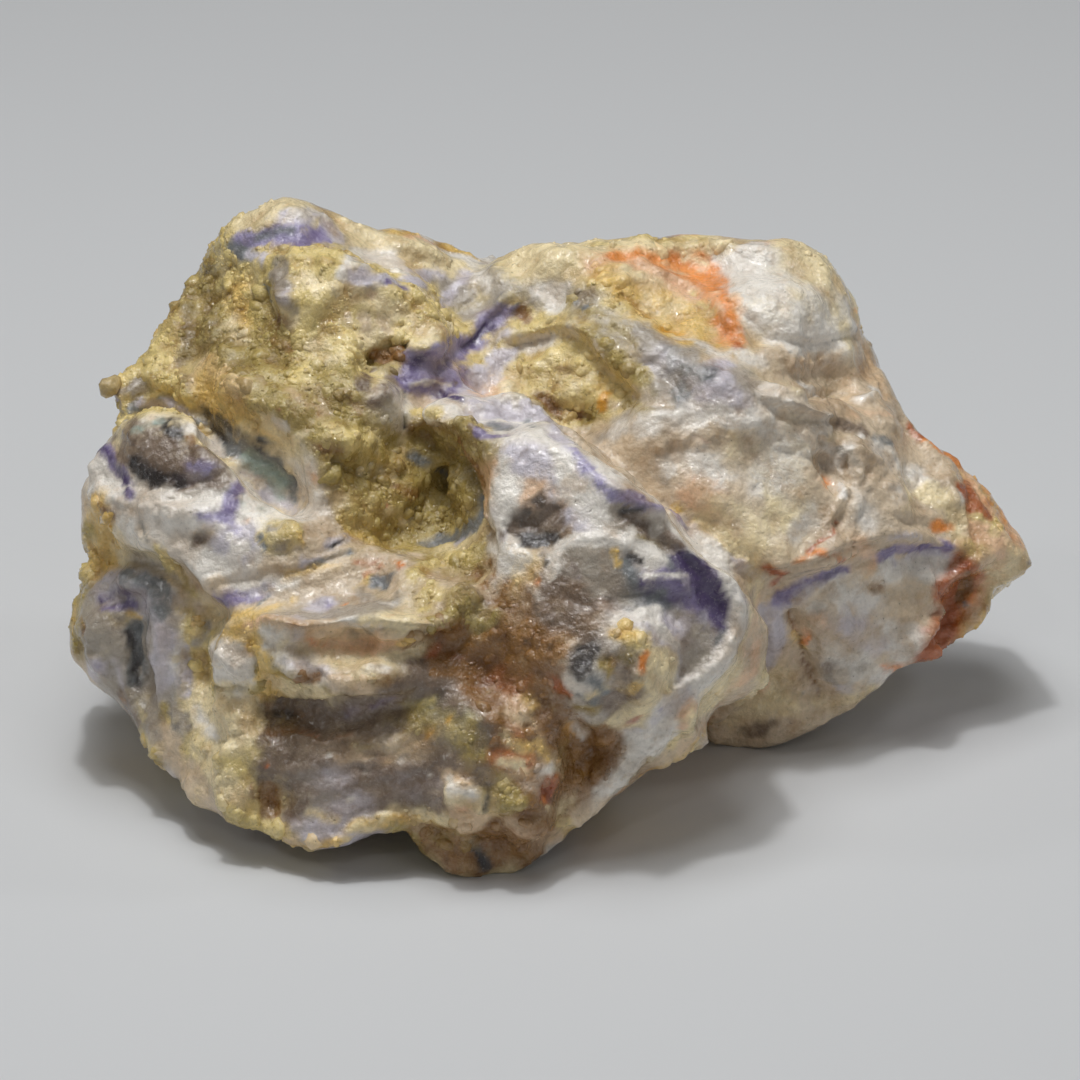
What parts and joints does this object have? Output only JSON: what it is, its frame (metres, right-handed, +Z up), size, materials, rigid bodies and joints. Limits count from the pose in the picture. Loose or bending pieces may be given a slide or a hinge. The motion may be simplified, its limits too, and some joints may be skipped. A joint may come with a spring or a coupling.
{
  "type": "purple opal specimen",
  "caption": "Loose hand specimen of purple and white opal in a rough cream and olive crust, lumpy and broken all round, resting on small flat spots.",
  "frame": {"origin": "under the middle of the stone's box, on the surface that it rests on", "axes": "+Z up as it rests, +X along its length, -Y out of its display side"},
  "size_m": [0.0978, 0.0722, 0.0519],
  "materials": {
    "opal": "wet gloss"
  },
  "bodies": {
    "root": {"stone": "opal"}
  },
  "joints": []
}
